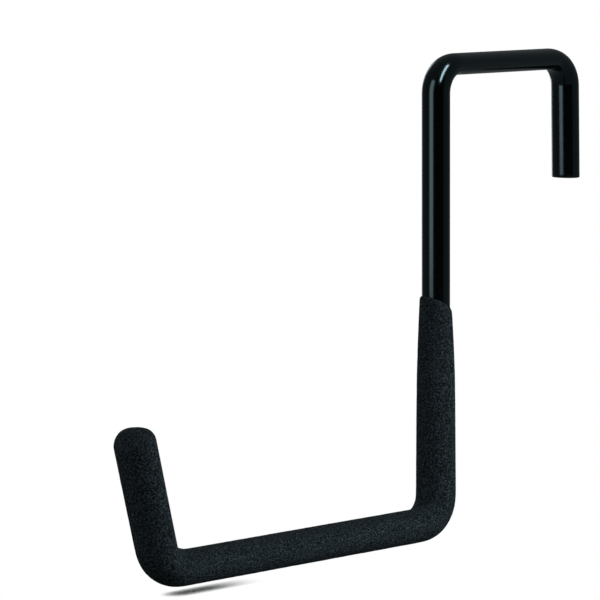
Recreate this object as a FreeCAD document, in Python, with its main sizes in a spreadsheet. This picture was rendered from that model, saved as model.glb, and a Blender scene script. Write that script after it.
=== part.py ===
import FreeCAD, Part
import math
import os
import Sketcher
from FreeCAD import Placement, Rotation, Vector

# Utility hook. One steel bar of oval section is bent into a saddle that hangs over a rail, a long
# upright, a level arm and a leaning tip. A soft coating is dipped over the tip, the arm and the
# lower half of the upright. X runs along the hook, from the arm at -X to the back leg at +X, and
# Z is up. The origin is the middle of the saddle's underside, where the hook sits on its rail.

# Lengths are in millimetres and angles in degrees.
SIZES = (
    ("bar_thick", 7.0, "bar across its oval section, in the plane of the bends"),
    ("bar_width", 10.4, "bar along its oval section, across the plane of the bends"),
    ("bend_inside", 5.7, "inside radius of the bar's four bends"),
    ("end_bevel", 0.4, "bevel round the cut end of the back leg"),
    ("rail_gap", 58.7, "clear width of the saddle at the back leg's free end"),
    ("leg_drop", 35.9, "rail seat down to the back leg's free end"),
    ("leg_splay", 1.0, "back leg's lean away from the upright"),
    ("load_drop", 138.1, "rail seat down to the coated top of the arm"),
    ("tip_reach", 136.8, "axis of the upright to the bar's end in the tip"),
    ("tip_rise", 41.9, "axis of the arm up to the bar's end in the tip"),
    ("tip_lean", 14.9, "tip's lean away from the upright"),
    ("bare_drop", 72.3, "rail seat down to the coating's upper edge, on the upright's axis"),
    ("dip_slope", 28.9, "upper edge's rise towards the arm"),
    ("dip_cant", 7.9, "upper edge's rise across the hook"),
    ("lip_skin", 0.9, "coating's thickness at its upper edge"),
    ("neck_skin", 1.4, "coating's thickness a little below, where it has gathered"),
    ("full_skin", 2.0, "coating's thickness on the lower upright and the arm"),
    ("tip_skin", 2.25, "coating's thickness at the tip's rounded end"),
    ("cap_skin", 2.05, "coating's thickness beyond the bar's end in the tip"),
    ("neck_drop", 16.0, "upper edge down to the gathered thickness"),
    ("swell_drop", 50.0, "upper edge down to the full thickness"),
    ("lip_round", 0.7, "rounding of the coating's upper edge"),
    ("dome_nose", 0.4, "rounding left at the narrow sides of the tip's flat crown"),
    ("dome_sag", 1.0, "that crown's shift towards the upright, off the tip's axis"),
)

# The oval section is four tangent arcs: two noses at its narrow sides and two flatter flanks.
HALF_WIDE = "(Sizes.bar_width / 2)"
HALF_THICK = "(Sizes.bar_thick / 2)"
DIAGONAL = f"sqrt({HALF_WIDE} ^ 2 + {HALF_THICK} ^ 2)"
NOSE = f"(({DIAGONAL} - {HALF_WIDE} + {HALF_THICK}) / 2 * {DIAGONAL} / {HALF_WIDE})"
FLANK = f"(({DIAGONAL} + {HALF_WIDE} - {HALF_THICK}) / 2 * {DIAGONAL} / {HALF_THICK})"

# Formulas that several sketches are bound to. The spare height is cut away at the upper edge.
UPRIGHT_X = "(Sizes.rail_gap + Sizes.bar_thick) / 2"
BEND_RADIUS = "Sizes.bend_inside + Sizes.bar_thick / 2"
ARM_DROP = "Sizes.load_drop + Sizes.full_skin + Sizes.bar_thick / 2"
SPARE = "Sizes.bar_width"
TOP_DROP = "Sizes.bare_drop - " + SPARE
NECK_DROP = "Sizes.bare_drop + Sizes.neck_drop"
RUN_DROP = "Sizes.bare_drop + Sizes.swell_drop"
LEAN = "Sizes.tip_lean * 1 deg"
DOME_ROUND = f"({NOSE} + Sizes.tip_skin - Sizes.dome_nose)"
DOME_START = f"(Sizes.cap_skin - {DOME_ROUND})"
TIP_BEND_REACH = f"(({BEND_RADIUS}) * tan((90 deg - {LEAN}) / 2))"
TIP_SWELL_START = f"({TIP_BEND_REACH} + Sizes.bar_thick / 2 - Sizes.tip_rise / cos({LEAN}))"
DOME_STEPS = 6


def add_sheet(doc):
    """The driving sizes, each with its name and what it measures."""
    sheet = doc.addObject("Spreadsheet::Sheet", "Sizes")
    for row, (alias, number, note) in enumerate(SIZES, start=1):
        sheet.set(f"A{row}", alias)
        sheet.set(f"B{row}", str(number))
        sheet.set(f"C{row}", note)
        sheet.setAlias(f"B{row}", alias)
    doc.recompute()
    return sheet


def add_body(doc, name):
    body = doc.addObject("PartDesign::Body", name)
    body.Label = name
    body.Placement = Placement(Vector(0, 0, 0), Rotation())
    return body


def add_sketch(body, name, role, tilt_axis=None, tilt=None):
    """An empty sketch on one of the body's origin planes, tilted about an axis where that is given."""
    plane = next(item for item in body.Origin.OriginFeatures if item.Role == role)
    sketch = body.newObject("Sketcher::SketchObject", name)
    sketch.AttachmentSupport = [(plane, "")]
    sketch.MapMode = "FlatFace"
    sketch.Visibility = False
    if tilt:
        sketch.AttachmentOffset = Placement(Vector(0, 0, 0), Rotation(tilt_axis, 1))
        sketch.setExpression("AttachmentOffset.Rotation.Angle", f"({tilt}) * 1 deg")
    return sketch


def bind(sketch, name, formula, kind, *where):
    """A named measure between the given points or lines, whose value the formula sets."""
    index = sketch.addConstraint(Sketcher.Constraint(kind, *where, sketch.evalExpression(formula)))
    sketch.renameConstraint(index, name)
    sketch.setExpression(f"Constraints.{name}", formula)


def add_section(body, sheet, name, drop, skin="0", x=f"-{UPRIGHT_X}", tilt=None):
    """The bar's oval section, or that of a skin round it, at a depth below the rail seat."""
    sketch = add_sketch(body, name, "XY_Plane", Vector(0, 1, 0), tilt)
    sketch.setExpression("AttachmentOffset.Base.x", x)
    sketch.setExpression("AttachmentOffset.Base.z", f"-({drop})")
    nose = sketch.evalExpression(NOSE)
    flank = sketch.evalExpression(FLANK)
    nose_middle = sheet.bar_width / 2 - nose
    flank_middle = flank - sheet.bar_thick / 2
    join = math.atan2(nose_middle, flank_middle)
    back_nose, arm_flank, front_nose, leg_flank = (
        sketch.addGeometry(Part.ArcOfCircle(Part.Circle(middle, Vector(0, 0, 1), radius), low, high))
        for middle, radius, low, high in (
            (Vector(0, nose_middle, 0), nose, join, math.pi - join),
            (Vector(flank_middle, 0, 0), flank, math.pi - join, math.pi + join),
            (Vector(0, -nose_middle, 0), nose, math.pi + join, 2 * math.pi - join),
            (Vector(-flank_middle, 0, 0), flank, -join, join)))
    for arc, following in ((back_nose, arm_flank), (arm_flank, front_nose),
                           (front_nose, leg_flank), (leg_flank, back_nose)):
        sketch.addConstraint(Sketcher.Constraint("Tangent", arc, 2, following, 1))
    sketch.addConstraint(Sketcher.Constraint("PointOnObject", back_nose, 3, -2))
    sketch.addConstraint(Sketcher.Constraint("PointOnObject", front_nose, 3, -2))
    bind(sketch, "back_middle", f"{HALF_WIDE} - {NOSE}", "DistanceY", -1, 1, back_nose, 3)
    bind(sketch, "front_middle", f"{HALF_WIDE} - {NOSE}", "DistanceY", front_nose, 3, -1, 1)
    bind(sketch, "back_nose", f"{NOSE} + {skin}", "Radius", back_nose)
    bind(sketch, "front_nose", f"{NOSE} + {skin}", "Radius", front_nose)
    bind(sketch, "arm_flank", f"{FLANK} + {skin}", "Radius", arm_flank)
    bind(sketch, "leg_flank", f"{FLANK} + {skin}", "Radius", leg_flank)
    return sketch


def add_path(sketch, corners, radius):
    """Straight runs through the corners, joined by tangent arcs. Returns the runs."""
    runs = []
    arcs = []
    start = corners[0]
    for before, corner, after in zip(corners, corners[1:], corners[2:]):
        arriving = (corner - before).normalize()
        leaving = (after - corner).normalize()
        turn = arriving.getAngle(leaving)
        left = 1 if arriving.cross(leaving).z > 0 else -1
        entry = corner - arriving * radius * math.tan(turn / 2)
        centre = entry + Vector(-arriving.y, arriving.x, 0) * radius * left
        angle = math.atan2(entry.y - centre.y, entry.x - centre.x)
        low, high = sorted((angle, angle + left * turn))
        circle = Part.Circle(centre, Vector(0, 0, 1), radius)
        runs.append(sketch.addGeometry(Part.LineSegment(start, entry), False))
        arcs.append((sketch.addGeometry(Part.ArcOfCircle(circle, low, high), False), left))
        start = corner + leaving * radius * math.tan(turn / 2)
    runs.append(sketch.addGeometry(Part.LineSegment(start, corners[-1]), False))
    for number, (arc, left) in enumerate(arcs):
        entry_end, exit_end = (1, 2) if left > 0 else (2, 1)
        sketch.addConstraint(Sketcher.Constraint("Tangent", runs[number], 2, arc, entry_end))
        sketch.addConstraint(Sketcher.Constraint("Tangent", arc, exit_end, runs[number + 1], 1))
        bind(sketch, f"bend_{number}", BEND_RADIUS, "Radius", arc)
    return runs


def lower_corners(sheet, top):
    """First places of the corners from a height on the upright to the bar's end in the tip."""
    upright = -(sheet.rail_gap + sheet.bar_thick) / 2
    arm = -(sheet.load_drop + sheet.full_skin + sheet.bar_thick / 2)
    tip = Vector(upright - sheet.tip_reach, arm + sheet.tip_rise, 0)
    bend = Vector(tip.x + sheet.tip_rise * math.tan(math.radians(sheet.tip_lean)), arm, 0)
    return [Vector(upright, top, 0), Vector(upright, arm, 0), bend, tip]


def hold_lower_run(sketch, upright, arm, tip, cap="0"):
    """Ties the upright, the arm and the tip, which the bar and its coating share."""
    sketch.addConstraint(Sketcher.Constraint("Vertical", upright))
    sketch.addConstraint(Sketcher.Constraint("Horizontal", arm))
    bind(sketch, "upright_x", UPRIGHT_X, "DistanceX", upright, 1, -1, 1)
    bind(sketch, "arm_drop", ARM_DROP, "DistanceY", arm, 1, -1, 1)
    bind(sketch, "lean", f"90 deg + {LEAN}", "Angle", tip)
    bind(sketch, "reach", f"Sizes.tip_reach + ({cap}) * sin({LEAN})", "DistanceX", tip, 2, upright, 1)
    bind(sketch, "rise", f"Sizes.tip_rise + ({cap}) * cos({LEAN})", "DistanceY", arm, 1, tip, 2)


def add_lower_path(body, sheet, name, drop, cap="0"):
    """Centreline from a depth below the rail seat, down the upright and along the arm to the tip."""
    sketch = add_sketch(body, name, "XZ_Plane")
    radius = sheet.bend_inside + sheet.bar_thick / 2
    upright, arm, tip = add_path(sketch, lower_corners(sheet, -sheet.bare_drop), radius)
    hold_lower_run(sketch, upright, arm, tip, cap)
    bind(sketch, "start_drop", drop, "DistanceY", upright, 1, -1, 1)
    return sketch


def add_pipe(body, kind, name, section, path):
    """The section carried along the path, its long axis square to the plane of the bends."""
    pipe = body.newObject(kind, name)
    pipe.Profile = section
    pipe.Spine = path
    pipe.Mode = "Binormal"
    pipe.Binormal = Vector(0, 1, 0)
    return pipe


def treat_rim(body, kind, name, base, point, measure, formula):
    """A fillet or chamfer round the flat face of the base that is nearest to a point."""
    flats = [face for face in base.Shape.Faces if isinstance(face.Surface, Part.Plane)]
    flat = min(flats, key=lambda face: face.CenterOfMass.distanceToPoint(point))
    rim = [f"Edge{number}" for number, edge in enumerate(base.Shape.Edges, start=1)
           if any(edge.isSame(other) for other in flat.Edges)]
    feature = body.newObject(kind, name)
    feature.Base = (base, rim)
    feature.setExpression(measure, formula)
    return feature


def make_steel_bar(doc, sheet):
    """The bent bar, from the back leg's free end over the saddle and down to the tip."""
    body = add_body(doc, "steel_bar")
    half_gap = (sheet.rail_gap + sheet.bar_thick) / 2
    axis_rise = sheet.bar_thick / 2
    sideways = (sheet.leg_drop + axis_rise) * math.tan(math.radians(sheet.leg_splay))
    leg_end = Vector(half_gap, -sheet.leg_drop, 0)
    leg_top = Vector(half_gap - sideways, axis_rise, 0)
    path = add_sketch(body, "bar_path", "XZ_Plane")
    corners = [leg_end, leg_top] + lower_corners(sheet, axis_rise)
    leg, saddle, upright, arm, tip = add_path(path, corners, sheet.bend_inside + axis_rise)
    path.addConstraint(Sketcher.Constraint("Horizontal", saddle))
    bind(path, "saddle_rise", "Sizes.bar_thick / 2", "DistanceY", -1, 1, saddle, 1)
    bind(path, "splay", "(90 + Sizes.leg_splay) * 1 deg", "Angle", leg)
    bind(path, "leg_x", UPRIGHT_X, "DistanceX", -1, 1, leg, 1)
    bind(path, "leg_drop", "Sizes.leg_drop", "DistanceY", leg, 1, -1, 1)
    hold_lower_run(path, upright, arm, tip)
    section = add_section(body, sheet, "bar_section", "Sizes.leg_drop", x=UPRIGHT_X,
                          tilt="-Sizes.leg_splay")
    bar = add_pipe(body, "PartDesign::AdditivePipe", "bent_bar", section, path)
    doc.recompute()
    free_end = Vector(half_gap, 0, -sheet.leg_drop)
    treat_rim(body, "PartDesign::Chamfer", "cut_end", bar, free_end, "Size", "Sizes.end_bevel")
    return body


def add_tip_section(body, sheet, name, height, skin, sag="0"):
    """An oval square to the tip, at a height beyond the bar's end and off the tip's axis by a sag."""
    return add_section(
        body, sheet, name,
        drop=f"{ARM_DROP} - Sizes.tip_rise - {height} * cos({LEAN})",
        skin=skin,
        x=f"-({UPRIGHT_X} + Sizes.tip_reach + {height} * sin({LEAN}) - {sag})",
        tilt="-Sizes.tip_lean")


def add_loft(body, name, sections):
    loft = body.newObject("PartDesign::AdditiveLoft", name)
    loft.Profile = sections[0]
    loft.Sections = sections[1:]
    return loft


def add_dome(body, sheet):
    """The rounded end of the tip: ovals that close in along a quarter circle."""
    sections = []
    for step in range(DOME_STEPS + 1):
        turn = f"{90 * step / DOME_STEPS} deg"
        sections.append(add_tip_section(
            body, sheet, f"dome_section_{step}",
            height=f"({DOME_START} + {DOME_ROUND} * sin({turn}))",
            skin=f"Sizes.tip_skin - {DOME_ROUND} * (1 - cos({turn}))",
            sag=f"Sizes.dome_sag * sin({turn})"))
    add_loft(body, "tip_dome", sections)


def add_dip_line(body, sheet):
    """What lies above the slanting line that the liquid left round the upright."""
    sketch = add_sketch(body, "dip_line", "XZ_Plane", Vector(1, 0, 0), "Sizes.dip_cant")
    sketch.setExpression("AttachmentOffset.Base.x", f"-{UPRIGHT_X}")
    sketch.setExpression("AttachmentOffset.Base.y", "-Sizes.bare_drop")
    wing = sheet.bar_width
    fall = wing * math.tan(math.radians(sheet.dip_slope))
    corners = [Vector(wing, -fall, 0), Vector(-wing, fall, 0),
               Vector(-wing, 2 * wing, 0), Vector(wing, 2 * wing, 0)]
    edge, arm_side, top, leg_side = (
        sketch.addGeometry(Part.LineSegment(corner, following), False)
        for corner, following in zip(corners, corners[1:] + corners[:1]))
    for line, following in ((edge, arm_side), (arm_side, top), (top, leg_side), (leg_side, edge)):
        sketch.addConstraint(Sketcher.Constraint("Coincident", line, 2, following, 1))
    for side in (arm_side, leg_side):
        sketch.addConstraint(Sketcher.Constraint("Vertical", side))
    sketch.addConstraint(Sketcher.Constraint("Horizontal", top))
    sketch.addConstraint(Sketcher.Constraint("PointOnObject", -1, 1, edge))
    bind(sketch, "slope", "(180 - Sizes.dip_slope) * 1 deg", "Angle", edge)
    bind(sketch, "leg_wing", SPARE, "DistanceX", -1, 1, edge, 1)
    bind(sketch, "arm_wing", SPARE, "DistanceX", edge, 2, -1, 1)
    bind(sketch, "height", f"2 * {SPARE}", "DistanceY", -1, 1, top, 1)
    return sketch


def make_grip_coating(doc, sheet):
    """The coating, which swells below its upper edge, follows the bar and closes over its end."""
    body = add_body(doc, "grip_coating")
    lip = add_section(body, sheet, "lip_section", TOP_DROP, "Sizes.lip_skin")
    neck = add_section(body, sheet, "neck_section", NECK_DROP, "Sizes.neck_skin")
    full = add_section(body, sheet, "full_section", RUN_DROP, "Sizes.full_skin")
    add_loft(body, "gathered_neck", [lip, neck])
    add_loft(body, "swelling_neck", [neck, full])

    run_path = add_lower_path(body, sheet, "run_path", RUN_DROP, TIP_SWELL_START)
    run_section = add_section(body, sheet, "run_section", RUN_DROP, "Sizes.full_skin")
    add_pipe(body, "PartDesign::AdditivePipe", "coated_run", run_section, run_path)
    tip_foot = add_tip_section(body, sheet, "tip_foot", TIP_SWELL_START, "Sizes.full_skin")
    tip_head = add_tip_section(body, sheet, "tip_head", DOME_START, "Sizes.tip_skin")
    add_loft(body, "swelling_tip", [tip_foot, tip_head])
    add_dome(body, sheet)

    cut = body.newObject("PartDesign::Pocket", "upper_edge")
    cut.Profile = add_dip_line(body, sheet)
    cut.Type = "ThroughAll"
    cut.SideType = "Symmetric"
    doc.recompute()

    upright = -(sheet.rail_gap + sheet.bar_thick) / 2
    edge_middle = Vector(upright, 0, -sheet.bare_drop)
    treat_rim(body, "PartDesign::Fillet", "rounded_lip", cut, edge_middle, "Radius", "Sizes.lip_round")

    bore_path = add_lower_path(body, sheet, "bore_path", TOP_DROP)
    bore_section = add_section(body, sheet, "bore_section", TOP_DROP)
    add_pipe(body, "PartDesign::SubtractivePipe", "bore_of_bar", bore_section, bore_path)
    return body


def check(doc):
    """Stops at the first object that failed or the first piece that isn't one valid solid."""
    for item in doc.Objects:
        if "Invalid" in item.State or "Error" in item.State:
            raise RuntimeError(f"{item.Label}: {item.State}")
    for body in doc.findObjects("PartDesign::Body"):
        if body.Shape.isNull() or not body.Shape.isValid() or len(body.Shape.Solids) != 1:
            raise RuntimeError(f"{body.Label}: not one valid solid")


def main():
    doc = FreeCAD.newDocument("utility_hook")
    sheet = add_sheet(doc)
    make_steel_bar(doc, sheet)
    make_grip_coating(doc, sheet)
    doc.recompute()
    check(doc)
    os.makedirs("parts", exist_ok=True)
    for body in doc.findObjects("PartDesign::Body"):
        body.Shape.exportStep(f"parts/{body.Label}.step")


main()
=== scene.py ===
import math
import bpy
from mathutils import Matrix, Vector


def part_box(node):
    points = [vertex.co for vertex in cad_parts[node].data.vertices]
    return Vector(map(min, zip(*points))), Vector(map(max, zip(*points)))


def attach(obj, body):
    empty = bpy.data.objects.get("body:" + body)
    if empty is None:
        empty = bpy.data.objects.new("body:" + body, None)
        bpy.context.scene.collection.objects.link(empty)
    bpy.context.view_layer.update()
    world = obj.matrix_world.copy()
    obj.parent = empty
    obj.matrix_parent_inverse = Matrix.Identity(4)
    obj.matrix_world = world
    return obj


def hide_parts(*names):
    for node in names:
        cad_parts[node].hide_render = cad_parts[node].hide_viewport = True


# Garage utility hook. One steel bar in gloss black paint is bent into a saddle, an upright, a level
# arm and a leaning tip, and a soft foamed coating is dipped over its lower half.

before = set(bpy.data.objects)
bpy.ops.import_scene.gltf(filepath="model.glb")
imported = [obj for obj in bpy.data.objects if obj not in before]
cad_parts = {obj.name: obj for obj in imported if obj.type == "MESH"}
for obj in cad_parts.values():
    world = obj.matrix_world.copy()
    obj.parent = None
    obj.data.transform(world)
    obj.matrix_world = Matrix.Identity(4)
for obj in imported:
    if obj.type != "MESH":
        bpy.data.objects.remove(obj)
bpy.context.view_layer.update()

MM = 0.001
bar_low, bar_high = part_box("steel_bar")
coat_low, coat_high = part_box("grip_coating")

# The bent bar. Its seat on the rail is at height 0, so its top is one thickness up.
BAR_THICK = bar_high.z
BAR_WIDTH = bar_high.y - bar_low.y

# Its section is an oval of four arcs. The nose is the radius of the two at its narrow sides.
BAR_DIAGONAL = math.hypot(BAR_WIDTH, BAR_THICK) / 2
BAR_NOSE = (BAR_DIAGONAL - (BAR_WIDTH - BAR_THICK) / 2) * BAR_DIAGONAL / BAR_WIDTH

INSIDE_RADIUS = 5.7 * MM
BEND_RADIUS = INSIDE_RADIUS + BAR_THICK / 2
RAIL_GAP = 58.7 * MM
LEG_DROP = 35.9 * MM
LEG_SPLAY = math.radians(1.0)
END_BEVEL = 0.4 * MM
END_BEVEL_STEPS = 4
FIRST_RING_BEVELS = 3  # the first ring over the cut end, in bevel widths
TIP_REACH = 136.8 * MM
TIP_RISE = 41.9 * MM
TIP_LEAN = math.radians(14.9)
FULL_SKIN = 2.0 * MM
UPRIGHT_X = -(RAIL_GAP + BAR_THICK) / 2
ARM_Z = coat_low.z + FULL_SKIN + BAR_THICK / 2

# Corners of the centreline, where its straight runs would meet.
LEG_END = Vector((-UPRIGHT_X, 0, -LEG_DROP))
LEG_TOP = Vector((-UPRIGHT_X - (LEG_DROP + BAR_THICK / 2) * math.tan(LEG_SPLAY), 0, BAR_THICK / 2))
UPRIGHT_TOP = Vector((UPRIGHT_X, 0, BAR_THICK / 2))
ARM_START = Vector((UPRIGHT_X, 0, ARM_Z))
TIP_END = Vector((UPRIGHT_X - TIP_REACH, 0, ARM_Z + TIP_RISE))
ARM_END = Vector((TIP_END.x + TIP_RISE * math.tan(TIP_LEAN), 0, ARM_Z))

# The dipped coating: its closed end, its thickness along the bar and its slanting upper edge.
TIP_SKIN = coat_high.y - bar_high.y
CAP_SKIN = 2.05 * MM
DOME_NOSE = 0.4 * MM  # rounding left at the narrow sides of the closed end's flat crown
DOME_ROUND = BAR_NOSE + TIP_SKIN - DOME_NOSE
DOME_SAG = 1.0 * MM
DOME_RINGS = 6
ARM_SKIN = 1.95 * MM
BEND_SKIN = 2.0 * MM
BEND_SKIN_AT_TIP = 2.15 * MM
NECK_SKIN = 1.55 * MM
NECK_POWER = 0.5  # the upright's coating thins late, close under the neck
LIP_SKIN = 0.97 * MM
LIP_RISE = 1.5 * MM
LIP_RINGS = 4
LIP_DROP = 72.3 * MM
LIP_MIDDLE = Vector((UPRIGHT_X, 0, -LIP_DROP))
LIP_SLOPE = math.radians(28.9)
LIP_CANT = math.radians(7.9)
SLANT_RUN = 18 * MM
BORE_SKIN = -0.02 * MM  # just inside the bar's face, so that no gap shows at the lip

# Foam that gathers inside the bend between arm and tip: what moves, how far, and what it draws along.
CREASE_REACH = 2.0 * MM
CREASE_FILL = 1.2 * MM
CREASE_SPREAD = 4.8 * MM

# The foam's surface: how far apart its swellings lie and how deep the hollows between them are.
FOAM_WAVE_SIZE = 5 * MM
FOAM_WAVE_DEPTH = 0.06 * MM
FOAM_PEBBLE_SIZE = 1.3 * MM
FOAM_PEBBLE_DEPTH = 0.07 * MM

# How finely the pieces are divided.
BAR_SIDES = 96
BAR_BEND_STEPS = 32
BAR_SHARPEST = math.radians(35)
COAT_SIDES = 40
COAT_BEND_STEPS = 8
COAT_STEP = 2.6 * MM
COAT_LEVELS = 2
COAT_SHARPEST = math.radians(60)
WELD = 0.001 * MM


def deselect_everything():
    """Leaves edit mode with nothing selected."""
    if bpy.context.object and bpy.context.object.mode != "OBJECT":
        bpy.ops.object.mode_set(mode="OBJECT")
    bpy.ops.object.select_all(action="DESELECT")


def start_oval(name, sides, skin, fill):
    """A level oval round the origin, the bar's section with a skin round it, left in edit mode.

    It starts as a circle that is one across, so that the resize gives its real size."""
    deselect_everything()
    bpy.ops.mesh.primitive_circle_add(vertices=sides, radius=0.5, fill_type=fill)
    piece = bpy.context.object
    piece.name = name
    piece.data.name = name
    bpy.ops.object.mode_set(mode="EDIT")
    bpy.ops.mesh.select_all(action="SELECT")
    size = (BAR_THICK + 2 * skin, BAR_WIDTH + 2 * skin, 1)
    bpy.ops.transform.resize(value=size, center_override=(0, 0, 0))
    return piece


def turn(axis, angle, middle):
    """Turns what is selected right-handed. With no window the operator turns the other way."""
    bpy.ops.transform.rotate(value=-angle, orient_axis=axis, center_override=middle)


def extrude(step):
    """Draws what is selected out by a step, and leaves the new end selected."""
    bpy.ops.mesh.extrude_region_move(TRANSFORM_OT_translate={"value": step})


def swell(middle, before, now):
    """Resizes the selected oval about its middle, so that only the skin round the bar changes."""
    thick = (BAR_THICK + 2 * now) / (BAR_THICK + 2 * before)
    wide = (BAR_WIDTH + 2 * now) / (BAR_WIDTH + 2 * before)
    bpy.ops.transform.resize(value=(thick, wide, thick), center_override=middle)


def slant(middle, before, now):
    """Tips the selected oval on the upright from one share of the lip's slant to another."""
    for axis, full in (("Y", LIP_SLOPE), ("X", LIP_CANT)):
        old = math.atan(math.tan(full) * before)
        new = math.atan(math.tan(full) * now)
        turn(axis, new - old, middle)
        longer = math.cos(old) / math.cos(new)
        size = (longer, 1, longer) if axis == "Y" else (1, longer, longer)
        bpy.ops.transform.resize(value=size, center_override=middle)


def bend_reach(start, corner, end):
    """How far before and after a corner its bend runs."""
    return BEND_RADIUS * math.tan((corner - start).angle(end - corner) / 2)


def spin_bend(start, corner, end, steps, before=0, after=0):
    """Spins the selected oval round the bend at a corner between two runs, as its skin changes."""
    arriving = (corner - start).normalized()
    leaving = (end - corner).normalized()
    axis = arriving.cross(leaving).normalized()
    entry = corner - arriving * bend_reach(start, corner, end)
    centre = entry + axis.cross(arriving) * BEND_RADIUS
    angle = arriving.angle(leaving) / steps
    for step in range(steps):
        bpy.ops.mesh.spin(steps=1, angle=-angle, center=centre, axis=axis)
        middle = centre + Matrix.Rotation(angle * (step + 1), 3, axis) @ (entry - centre)
        swell(middle, *(before + (after - before) * share / steps for share in (step, step + 1)))


def follow(corners, steps):
    """Carries the selected oval along straight runs and round the bends between them."""
    start = corners[0]
    for before, corner, after in zip(corners, corners[1:], corners[2:]):
        reach = bend_reach(before, corner, after)
        extrude(corner - (corner - before).normalized() * reach - start)
        spin_bend(before, corner, after, steps)
        start = corner + (after - corner).normalized() * reach
    extrude(corners[-1] - start)


def select_open_rim():
    """Selects the rim where the mesh is still open."""
    bpy.ops.mesh.select_all(action="DESELECT")
    bpy.ops.mesh.select_non_manifold()


def point_outwards():
    """Merges doubles and turns all faces outwards."""
    bpy.ops.mesh.select_all(action="SELECT")
    bpy.ops.mesh.remove_doubles(threshold=WELD)
    bpy.ops.mesh.normals_make_consistent(inside=False)


def smooth(piece, sharpest):
    """Shades a piece smooth, apart from edges that turn by more than the given angle."""
    deselect_everything()
    piece.select_set(True)
    bpy.context.view_layer.objects.active = piece
    bpy.ops.object.shade_smooth_by_angle(angle=sharpest)


def apply_modifier(piece, kind, **settings):
    """Adds a modifier with its settings and applies it."""
    modifier = piece.modifiers.new(kind.lower(), kind)
    for name, value in settings.items():
        setattr(modifier, name, value)
    bpy.ops.object.modifier_apply(modifier=modifier.name)


def make_painted_bar():
    """The bar: an oval pushed along its straight runs and spun round its four bends."""
    piece = start_oval("painted_bar", BAR_SIDES, 0, "NGON")
    turn("Y", -LEG_SPLAY, (0, 0, 0))
    bpy.ops.transform.translate(value=LEG_END)
    above_bevel = LEG_END + (LEG_TOP - LEG_END).normalized() * FIRST_RING_BEVELS * END_BEVEL
    extrude(above_bevel - LEG_END)
    follow([above_bevel, LEG_TOP, UPRIGHT_TOP, ARM_START, ARM_END, TIP_END], BAR_BEND_STEPS)
    point_outwards()
    bevel_cut_end(piece)
    smooth(piece, BAR_SHARPEST)
    return piece


def bevel_cut_end(piece):
    """Breaks the sharp rim of the back leg's cut end."""
    bpy.ops.mesh.select_all(action="DESELECT")
    bpy.ops.object.mode_set(mode="OBJECT")
    end_face = max((face for face in piece.data.polygons if len(face.vertices) == BAR_SIDES),
                   key=lambda face: face.center.x)
    end_face.select = True
    bpy.ops.object.mode_set(mode="EDIT")
    bpy.ops.mesh.select_mode(type="FACE")
    bpy.ops.mesh.bevel(offset=END_BEVEL, segments=END_BEVEL_STEPS, affect="EDGES")
    bpy.ops.mesh.select_mode(type="EDGE")


def dome_ring(step):
    """Height over the bar's end, skin and sideways sag of one ring of the coating's rounded end."""
    angle = math.pi / 2 * step / DOME_RINGS
    height = CAP_SKIN - DOME_ROUND + DOME_ROUND * math.sin(angle)
    return height, TIP_SKIN - DOME_ROUND * (1 - math.cos(angle)), DOME_SAG * math.sin(angle)


def swelling_run(start, end, before, after, power=1.0):
    """Carries the selected oval along one run, as its skin changes: evenly, or late at a power < 1."""
    steps = round((end - start).length / COAT_STEP)
    for step in range(steps):
        extrude((end - start) / steps)
        old, new = (after + (before - after) * (1 - share / steps) ** power
                    for share in (step, step + 1))
        swell(start.lerp(end, (step + 1) / steps), old, new)


def make_coating_tip():
    """The closed end and the tip's straight run, made upright over the arm's end and then leaned."""
    length = TIP_RISE / math.cos(TIP_LEAN)
    height, skin, sag = dome_ring(DOME_RINGS)
    piece = start_oval("soft_coating", COAT_SIDES, skin, "NOTHING")
    bpy.ops.transform.translate(value=ARM_END + Vector((sag, 0, length + height)))
    bpy.ops.mesh.fill_grid(span=COAT_SIDES // 4)
    select_open_rim()
    for step in reversed(range(DOME_RINGS)):
        low_height, low_skin, low_sag = dome_ring(step)
        extrude((low_sag - sag, 0, low_height - height))
        swell(ARM_END + Vector((low_sag, 0, length + low_height)), skin, low_skin)
        height, skin, sag = low_height, low_skin, low_sag
    reach = bend_reach(TIP_END, ARM_END, ARM_START)
    swelling_run(ARM_END + Vector((0, 0, length + height)), ARM_END + Vector((0, 0, reach)),
                 TIP_SKIN, BEND_SKIN_AT_TIP)
    bpy.ops.mesh.select_all(action="SELECT")
    turn("Y", -TIP_LEAN, ARM_END)
    select_open_rim()
    return piece


def make_coating_lip():
    """The last stretch of the upright, where the ovals tip into the slant, and the rounded lip."""
    steps = round(SLANT_RUN / COAT_STEP)
    start = LIP_MIDDLE - Vector((0, 0, LIP_RISE + SLANT_RUN))
    rise = Vector((0, 0, SLANT_RUN / steps))
    skin = NECK_SKIN
    for step in range(1, steps + 1):
        extrude(rise)
        middle = start + rise * step
        now = NECK_SKIN + (LIP_SKIN - NECK_SKIN) * step / steps
        slant(middle, (step - 1) / steps, step / steps)
        swell(middle, skin, now)
        skin = now
    for step in range(1, LIP_RINGS + 1):
        old, new = (math.pi / 2 * share / LIP_RINGS for share in (step - 1, step))
        extrude((0, 0, LIP_RISE * (math.sin(new) - math.sin(old))))
        middle = LIP_MIDDLE + Vector((0, 0, LIP_RISE * (math.sin(new) - 1)))
        swell(middle, LIP_SKIN * math.cos(old), LIP_SKIN * math.cos(new))


def make_coating_bore():
    """The inner wall, on the bar's own surface from the lip down to the bar's end."""
    select_open_rim()
    extrude((0, 0, 0))
    swell(LIP_MIDDLE, 0, BORE_SKIN)
    level = LIP_MIDDLE - Vector((0, 0, SLANT_RUN))
    extrude(level - LIP_MIDDLE)
    slant(level, 1, 0)
    follow([level, ARM_START, ARM_END, TIP_END], COAT_BEND_STEPS)
    bpy.ops.mesh.edge_face_add()


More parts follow.
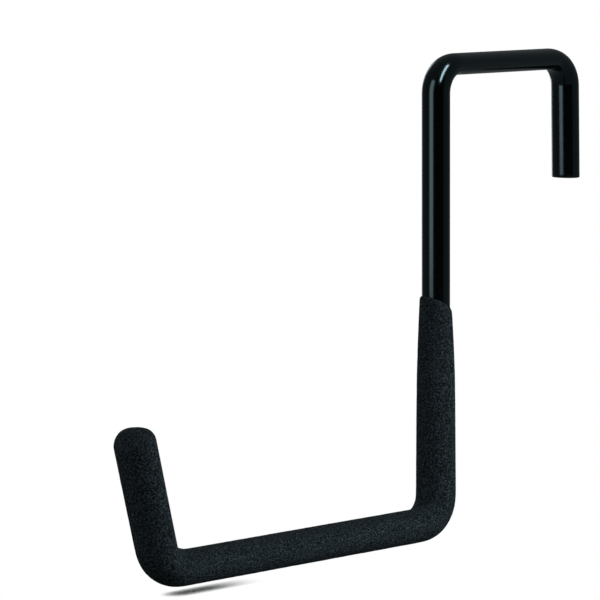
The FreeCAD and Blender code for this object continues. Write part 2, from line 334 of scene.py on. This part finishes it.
def gather_foam(piece):
    """Fills the inside of the bend between arm and tip, where the dip gathers in a rounded corner."""
    leaving = (TIP_END - ARM_END).normalized()
    inwards = (Vector((1, 0, 0)) + leaving).normalized()
    reach = bend_reach(TIP_END, ARM_END, ARM_START)
    centre = ARM_END + inwards * math.hypot(reach, BEND_RADIUS)
    crease = centre - inwards * (BEND_RADIUS - BAR_THICK / 2 - FULL_SKIN)
    bpy.ops.mesh.select_all(action="DESELECT")
    bpy.ops.object.mode_set(mode="OBJECT")
    for vertex in piece.data.vertices:
        vertex.select = (vertex.co - crease).length < CREASE_REACH
    bpy.ops.object.mode_set(mode="EDIT")
    bpy.ops.transform.translate(value=inwards * CREASE_FILL, use_proportional_edit=True,
                                proportional_edit_falloff="SMOOTH", proportional_size=CREASE_SPREAD,
                                use_proportional_connected=True)


def make_soft_coating():
    """The coating: rings from the closed end along the arm to the slanting lip, then the bore."""
    piece = make_coating_tip()
    spin_bend(TIP_END, ARM_END, ARM_START, COAT_BEND_STEPS, BEND_SKIN_AT_TIP, FULL_SKIN)
    tip_reach = bend_reach(TIP_END, ARM_END, ARM_START)
    reach = bend_reach(ARM_END, ARM_START, UPRIGHT_TOP)
    swelling_run(ARM_END + Vector((tip_reach, 0, 0)), ARM_START - Vector((reach, 0, 0)),
                 FULL_SKIN, ARM_SKIN)
    spin_bend(ARM_END, ARM_START, UPRIGHT_TOP, COAT_BEND_STEPS, ARM_SKIN, BEND_SKIN)
    swelling_run(ARM_START + Vector((0, 0, reach)), LIP_MIDDLE - Vector((0, 0, LIP_RISE + SLANT_RUN)),
                 BEND_SKIN, NECK_SKIN, power=NECK_POWER)
    make_coating_lip()
    point_outwards()
    gather_foam(piece)
    bpy.ops.object.mode_set(mode="OBJECT")
    apply_modifier(piece, "SUBSURF", levels=COAT_LEVELS, render_levels=COAT_LEVELS)
    pebble_surface(piece)
    bpy.ops.object.mode_set(mode="EDIT")
    make_coating_bore()
    point_outwards()
    smooth(piece, COAT_SHARPEST)
    return piece


def pebble_surface(piece):
    """Shallow pits and swellings that the foam leaves, cut inwards from the smooth coating."""
    for name, size, depth in (("foam_waves", FOAM_WAVE_SIZE, FOAM_WAVE_DEPTH),
                              ("foam_pebbles", FOAM_PEBBLE_SIZE, FOAM_PEBBLE_DEPTH)):
        clouds = bpy.data.textures.new(name, "CLOUDS")
        clouds.noise_scale = size
        clouds.noise_depth = 1
        apply_modifier(piece, "DISPLACE", texture=clouds, texture_coords="LOCAL", direction="NORMAL",
                       mid_level=1.0, strength=depth)


def linear(hex_code):
    """An sRGB hex colour as the linear colour that shaders take."""
    shares = [int(hex_code[start:start + 2], 16) / 255 for start in (1, 3, 5)]
    return tuple(s / 12.92 if s <= 0.04045 else ((s + 0.055) / 1.055) ** 2.4 for s in shares) + (1.0,)


def add_node(tree, kind, settings=None, links=None):
    """One shader node. A setting goes to the input of that name or number, or else to the node."""
    made = tree.nodes.new(kind)
    for name, value in (settings or {}).items():
        if isinstance(name, int) or name in made.inputs:
            made.inputs[name].default_value = value
        else:
            setattr(made, name, value)
    for name, output in (links or {}).items():
        tree.links.new(output, made.inputs[name])
    return made


def new_material(name):
    """A material with an empty node tree."""
    material = bpy.data.materials.new(name)
    material.use_nodes = True
    material.node_tree.nodes.clear()
    return material, material.node_tree


WHITE = "#ffffff"

# Stoved paint: near black with a cool sheen. Its orange peel and haze soften the mirrored lights.
PAINT_COLOUR = "#020303"
PAINT_IOR = 1.5
PAINT_SHEEN = "#d6f8ff"
PAINT_HAZE = (0.11, 0.18)
PEEL_SIZE = 2.5 * MM
PEEL_DEPTH = 0.02 * MM
PEEL_STRENGTH = 0.15

# Foamed dip: charcoal specks on a darker ground, with hardly any shine. The grain's noise is all
# ground below the first share and all speck above the second.
FOAM_GROUND = "#121516"
FOAM_SPECK = "#475156"
GROUND_BELOW = 0.43
SPECK_ABOVE = 0.74
FOAM_SHEEN = "#e2f8ff"
FOAM_IOR = 1.5
FOAM_ROUGHNESS = 0.95
FOAM_SHINE = 0.08
GRAIN_SIZE = 0.5 * MM
GRAIN_DEPTH = 0.3 * MM


def gloss_black_stoved_paint():
    """Stoved gloss paint on steel: near black, and it mirrors the studio with a faint orange peel."""
    material, tree = new_material("gloss_black_stoved_paint")
    place = add_node(tree, "ShaderNodeTexCoord")
    peel = add_node(tree, "ShaderNodeTexNoise", {"Scale": 1 / PEEL_SIZE, "Detail": 2.0},
                    {"Vector": place.outputs["Object"]})
    bump = add_node(tree, "ShaderNodeBump", {"Strength": PEEL_STRENGTH, "Distance": PEEL_DEPTH},
                    {"Height": peel.outputs["Fac"]})
    haze = add_node(tree, "ShaderNodeMapRange", {"To Min": PAINT_HAZE[0], "To Max": PAINT_HAZE[1]},
                    {"Value": peel.outputs["Fac"]})
    paint = add_node(tree, "ShaderNodeBsdfPrincipled",
                     {"Base Color": linear(PAINT_COLOUR), "IOR": PAINT_IOR,
                      "Specular Tint": linear(PAINT_SHEEN)},
                     {"Roughness": haze.outputs["Result"], "Normal": bump.outputs["Normal"]})
    add_node(tree, "ShaderNodeOutputMaterial", links={"Surface": paint.outputs["BSDF"]})
    return material


def soft_foamed_dip():
    """Foamed vinyl dip: matt charcoal black with a fine, speckled grain."""
    material, tree = new_material("soft_foamed_dip")
    place = add_node(tree, "ShaderNodeTexCoord")
    grain = add_node(tree, "ShaderNodeTexNoise",
                     {"Scale": 1 / GRAIN_SIZE, "Detail": 2.0, "Roughness": 0.5},
                     {"Vector": place.outputs["Object"]})
    speckle = add_node(tree, "ShaderNodeValToRGB", links={"Fac": grain.outputs["Fac"]})
    speckle.color_ramp.elements[0].position = GROUND_BELOW
    speckle.color_ramp.elements[0].color = linear(FOAM_GROUND)
    speckle.color_ramp.elements[1].position = SPECK_ABOVE
    speckle.color_ramp.elements[1].color = linear(FOAM_SPECK)
    bump = add_node(tree, "ShaderNodeBump", {"Strength": 1.0, "Distance": GRAIN_DEPTH},
                    {"Height": grain.outputs["Fac"]})
    foam = add_node(tree, "ShaderNodeBsdfPrincipled",
                    {"Roughness": FOAM_ROUGHNESS, "IOR": FOAM_IOR, "Specular IOR Level": FOAM_SHINE,
                     "Specular Tint": linear(FOAM_SHEEN)},
                    {"Base Color": speckle.outputs["Color"], "Normal": bump.outputs["Normal"]})
    add_node(tree, "ShaderNodeOutputMaterial", links={"Surface": foam.outputs["BSDF"]})
    return material


# The studio. The camera is fitted to the photograph's outline and perspective. Bearings are degrees
# to the right of the camera, as seen from the hook.
CAMERA_PLACE = Vector((-1.002458, -0.838263, 0.060502))
CAMERA_BEARING = math.radians(-47.211)
CAMERA_PITCH = math.radians(5.884)
CAMERA_ROLL = math.radians(-0.195)
LENS_MM = 241.38
SENSOR_MM = 36
CLIP_NEAR = 0.05
CLIP_FAR = 60
FLOOR_UNDER_HOOK = 2.1 * MM
FLOOR_Z = coat_low.z - FLOOR_UNDER_HOOK
FLOOR_SIZE = 30
STAGE_MIDDLE = Vector((-0.06, 0, -0.07))
SOFTBOX_COLOUR = "#edf9ff"

# The softboxes. The key only gives light, and the gloss paint mirrors the other two.
SOFTBOXES = (
    {"name": "tall_softbox", "bearing": -69, "distance": 0.9, "height": 0.19, "aim_height": 0.19,
     "width": 0.33, "tall": 0.75, "glow": 2.5, "mirrored": True},
    {"name": "key_softbox", "bearing": 60, "distance": 0.55, "height": 0.03,
     "aim_height": STAGE_MIDDLE.z, "width": 0.32, "tall": 0.42, "glow": 6.7, "mirrored": False},
    {"name": "back_softbox", "bearing": -160, "distance": 0.6, "height": 0.06, "aim_height": 0.06,
     "width": 0.15, "tall": 0.4, "glow": 1.5, "mirrored": True},
)

# The room's light on what isn't mirrored: full at eye level and below, and none from where a
# direction's Z is this large, some 44 degrees up.
ROOM_LIGHT = 0.35
ROOM_DARK_ABOVE = 0.7

# Contact shadow: how near the hook counts, at which open share the floor is darkest and at which it
# is white again, and between which two places along X the shadow fades out towards the arm.
SHADOW_REACH = 5 * MM
SHADOW_SAMPLES = 16
SHADOW_COLOUR = "#2a3030"
SHADOW_DARKEST = 0.31
SHADOW_GONE = 0.55
SHADOW_FADE = (-0.14, -0.115)
PAPER_COLOUR = "#5c5c5c"

# What only mirrored rays meet. Each glow runs from the camera's left to its right.
TENT_RADIUS = 1.3
TENT_SEGMENTS = 48
TENT_GLOW = (0.09, 0.17)
TABLE_GLOW = (0.07, 0.22)
TABLE_OVER_FLOOR = 0.2 * MM
FLAG_GLOW = (0.0, 0.03)
FLAG_BEARING = -14.5
FLAG_DISTANCE = 0.6
FLAG_WIDTH = 0.92
FLAG_HEIGHT = 1.0
STRIP_BEARING = -8
STRIP_HEIGHT_ANGLE = 59
STRIP_DISTANCE = 0.55
STRIP_WIDTH = 0.12
STRIP_LENGTH = 0.54
STRIP_TILT = -18
STRIP_GLOW = (18.0, 18.0)


def add_camera():
    """The camera of the photograph."""
    data = bpy.data.cameras.new("camera")
    data.lens = LENS_MM
    data.sensor_width = SENSOR_MM
    data.clip_start = CLIP_NEAR
    data.clip_end = CLIP_FAR
    camera = bpy.data.objects.new("camera", data)
    bpy.context.scene.collection.objects.link(camera)
    facing = (Matrix.Rotation(CAMERA_BEARING, 4, "Z")
              @ Matrix.Rotation(math.pi / 2 - CAMERA_PITCH, 4, "X"))
    roll = Matrix.Rotation(CAMERA_ROLL, 4, "Z")
    camera.matrix_world = Matrix.Translation(CAMERA_PLACE) @ facing @ roll
    bpy.context.scene.camera = camera


def bearing_angle(degrees):
    """The angle round Z, from X, of a bearing to the right of the camera."""
    return CAMERA_BEARING - math.pi / 2 + math.radians(degrees)


def toward(degrees, distance, height):
    """A place in the studio at a bearing and distance from the hook, and at a height."""
    angle = bearing_angle(degrees)
    across = Vector((distance * math.cos(angle), distance * math.sin(angle), 0))
    return Vector((STAGE_MIDDLE.x, STAGE_MIDDLE.y, height)) + across


def add_softbox(name, bearing, distance, height, aim_height, width, tall, glow, mirrored):
    """A softbox of even glow, facing the hook's middle at a height. Gloss shows it if mirrored is set.

    A rectangle's power for an even glow is pi times the glow and its area."""
    data = bpy.data.lights.new(name, "AREA")
    data.shape = "RECTANGLE"
    data.size = width
    data.size_y = tall
    data.energy = glow * math.pi * width * tall
    data.color = linear(SOFTBOX_COLOUR)[:3]
    lamp = bpy.data.objects.new(name, data)
    bpy.context.scene.collection.objects.link(lamp)
    place = toward(bearing, distance, height)
    lamp.location = place
    aim = Vector((STAGE_MIDDLE.x, STAGE_MIDDLE.y, aim_height))
    lamp.rotation_euler = (aim - place).to_track_quat("-Z", "Y").to_euler()
    lamp.visible_camera = False
    lamp.visible_glossy = mirrored


def background_rays(tree):
    """One for the rays that meet the background as plain white: the camera's, mirrored and glass."""
    rays = add_node(tree, "ShaderNodeLightPath")
    mirrored = add_node(tree, "ShaderNodeMath", {"operation": "MAXIMUM"},
                        {0: rays.outputs["Is Glossy Ray"], 1: rays.outputs["Is Transmission Ray"]})
    seen = add_node(tree, "ShaderNodeMath", {"operation": "MAXIMUM"},
                    {0: mirrored.outputs[0], 1: rays.outputs["Is Camera Ray"]})
    return seen.outputs[0]


def white_paper():
    """Seamless white paper, plain white to look at apart from the hook's contact shadow.

    A Mix node's two colours are its inputs 6 and 7, and the mixed colour is its output 2."""
    material, tree = new_material("white_paper_floor")
    paper = add_node(tree, "ShaderNodeBsdfDiffuse", {"Color": linear(PAPER_COLOUR)})
    shade = add_node(tree, "ShaderNodeAmbientOcclusion",
                     {"Distance": SHADOW_REACH, "samples": SHADOW_SAMPLES})
    place = add_node(tree, "ShaderNodeTexCoord")
    along = add_node(tree, "ShaderNodeSeparateXYZ", links={"Vector": place.outputs["Object"]})
    fade = add_node(tree, "ShaderNodeMapRange",
                    {"interpolation_type": "SMOOTHSTEP",
                     "From Min": SHADOW_FADE[0], "From Max": SHADOW_FADE[1]},
                    {"Value": along.outputs["X"]})
    shadow = add_node(tree, "ShaderNodeValToRGB", links={"Fac": shade.outputs["AO"]})
    shadow.color_ramp.elements[0].position = SHADOW_DARKEST
    shadow.color_ramp.elements[0].color = linear(SHADOW_COLOUR)
    shadow.color_ramp.elements[1].position = SHADOW_GONE
    shadow.color_ramp.elements[1].color = linear(WHITE)
    white = add_node(tree, "ShaderNodeMix", {"data_type": "RGBA", 7: linear(WHITE)},
                     {0: fade.outputs["Result"], 6: shadow.outputs["Color"]})
    glow = add_node(tree, "ShaderNodeEmission", {"Strength": 1.0}, {"Color": white.outputs[2]})
    seen = add_node(tree, "ShaderNodeMixShader",
                    links={0: background_rays(tree), 1: paper.outputs[0], 2: glow.outputs[0]})
    add_node(tree, "ShaderNodeOutputMaterial", links={"Surface": seen.outputs[0]})
    return material


def studio_cloth(name, glow):
    """Cloth or card for the paint to mirror, its glow changing from the camera's left to right."""
    material, tree = new_material(name)
    place = add_node(tree, "ShaderNodeTexCoord")
    turned = add_node(tree, "ShaderNodeMapping", {"Rotation": (0, 0, -CAMERA_BEARING)},
                      {"Vector": place.outputs["Object"]})
    across = add_node(tree, "ShaderNodeSeparateXYZ", links={"Vector": turned.outputs["Vector"]})
    level = add_node(tree, "ShaderNodeMapRange",
                     {"From Min": -TENT_RADIUS, "From Max": TENT_RADIUS,
                      "To Min": glow[0], "To Max": glow[1]},
                     {"Value": across.outputs["X"]})
    light = add_node(tree, "ShaderNodeEmission", {"Color": linear(SOFTBOX_COLOUR)},
                     {"Strength": level.outputs["Result"]})
    add_node(tree, "ShaderNodeOutputMaterial", links={"Surface": light.outputs[0]})
    return material


def mirror_only(piece, material):
    """Gives a studio piece its cloth, and hides it from all but what the gloss mirrors."""
    piece.data.materials.append(material)
    piece.visible_camera = False
    piece.visible_diffuse = False
    piece.visible_shadow = False


def add_tent():
    """A grey tent over the hook and a dark cloth under it, in place of the white room in the gloss."""
    deselect_everything()
    middle = (STAGE_MIDDLE.x, STAGE_MIDDLE.y, FLOOR_Z)
    bpy.ops.mesh.primitive_uv_sphere_add(segments=TENT_SEGMENTS, ring_count=TENT_SEGMENTS // 2,
                                         radius=TENT_RADIUS, location=middle)
    tent = bpy.context.object
    tent.name = "grey_tent"
    bpy.ops.object.mode_set(mode="EDIT")
    bpy.ops.mesh.select_all(action="SELECT")
    bpy.ops.mesh.bisect(plane_co=middle, plane_no=(0, 0, 1), clear_inner=True)
    bpy.ops.object.mode_set(mode="OBJECT")
    mirror_only(tent, studio_cloth("grey_tent_cloth", TENT_GLOW))
    deselect_everything()
    on_floor = (STAGE_MIDDLE.x, STAGE_MIDDLE.y, FLOOR_Z + TABLE_OVER_FLOOR)
    bpy.ops.mesh.primitive_plane_add(size=2 * TENT_RADIUS, location=on_floor)
    cloth = bpy.context.object
    cloth.name = "dark_table_cloth"
    mirror_only(cloth, studio_cloth("dark_cloth", TABLE_GLOW))


def add_card(name, cloth, width, tall, place, bearing, lift=0, tilt=0):
    """A flat card across a bearing, turned in its own plane by a tilt and leaned over by a lift."""
    deselect_everything()
    bpy.ops.mesh.primitive_plane_add(size=1)
    card = bpy.context.object
    card.name = name
    bpy.ops.object.mode_set(mode="EDIT")
    bpy.ops.mesh.select_all(action="SELECT")
    bpy.ops.transform.resize(value=(width, tall, 1), center_override=(0, 0, 0))
    turn("Z", math.radians(tilt), (0, 0, 0))
    turn("X", math.radians(90 - lift), (0, 0, 0))
    turn("Z", bearing_angle(bearing) + math.pi / 2, (0, 0, 0))
    bpy.ops.transform.translate(value=place)
    bpy.ops.object.mode_set(mode="OBJECT")
    mirror_only(card, cloth)


def add_flag():
    """A black flag in front of the hook, which keeps the upright's face dark."""
    place = toward(FLAG_BEARING, FLAG_DISTANCE, FLOOR_Z + FLAG_HEIGHT / 2)
    add_card("black_flag", studio_cloth("black_flag_cloth", FLAG_GLOW), FLAG_WIDTH, FLAG_HEIGHT,
             place, FLAG_BEARING)


def add_top_strip():
    """A bright strip above the camera, which the bend over the upright mirrors as a crescent.

    Its distance is counted from the middle of the stage at height 0, up the height angle."""
    rise = math.radians(STRIP_HEIGHT_ANGLE)
    place = toward(STRIP_BEARING, STRIP_DISTANCE * math.cos(rise), STRIP_DISTANCE * math.sin(rise))
    add_card("top_strip", studio_cloth("strip_glow", STRIP_GLOW), STRIP_WIDTH, STRIP_LENGTH,
             place, STRIP_BEARING, lift=STRIP_HEIGHT_ANGLE, tilt=STRIP_TILT)


def add_room():
    """Plain white to the camera, in mirrors and through glass, and dim light for everything else."""
    world = bpy.data.worlds.new("studio")
    bpy.context.scene.world = world
    world.use_nodes = True
    tree = world.node_tree
    tree.nodes.clear()
    place = add_node(tree, "ShaderNodeTexCoord")
    way = add_node(tree, "ShaderNodeSeparateXYZ", links={"Vector": place.outputs["Generated"]})
    walls = add_node(tree, "ShaderNodeMapRange",
                     {"From Min": 0.0, "From Max": ROOM_DARK_ABOVE,
                      "To Min": ROOM_LIGHT, "To Max": 0.0},
                     {"Value": way.outputs["Z"]})
    room = add_node(tree, "ShaderNodeBackground", {"Color": linear(WHITE)},
                    {"Strength": walls.outputs["Result"]})
    white = add_node(tree, "ShaderNodeBackground", {"Color": linear(WHITE), "Strength": 1.0})
    light = add_node(tree, "ShaderNodeMixShader",
                     links={0: background_rays(tree), 1: room.outputs[0], 2: white.outputs[0]})
    add_node(tree, "ShaderNodeOutputWorld", links={"Surface": light.outputs[0]})


def add_stage():
    """The floor, what the gloss mirrors, the lamps and the room."""
    deselect_everything()
    bpy.ops.mesh.primitive_plane_add(size=FLOOR_SIZE, location=(0, 0, FLOOR_Z))
    floor = bpy.context.object
    floor.name = "floor"
    floor.data.materials.append(white_paper())
    add_tent()
    add_flag()
    add_top_strip()
    for softbox in SOFTBOXES:
        add_softbox(**softbox)
    add_room()


def put_on_hook(piece, material, node):
    """Gives a piece its finish, lets it stand for its CAD node and ride with the hook."""
    piece.data.materials.append(material)
    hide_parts(node)
    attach(piece, "root")


def main():
    """The camera, the hook and its stage."""
    add_camera()
    put_on_hook(make_painted_bar(), gloss_black_stoved_paint(), "steel_bar")
    put_on_hook(make_soft_coating(), soft_foamed_dip(), "grip_coating")
    add_stage()
    bpy.context.scene.view_settings.view_transform = "Standard"


main()
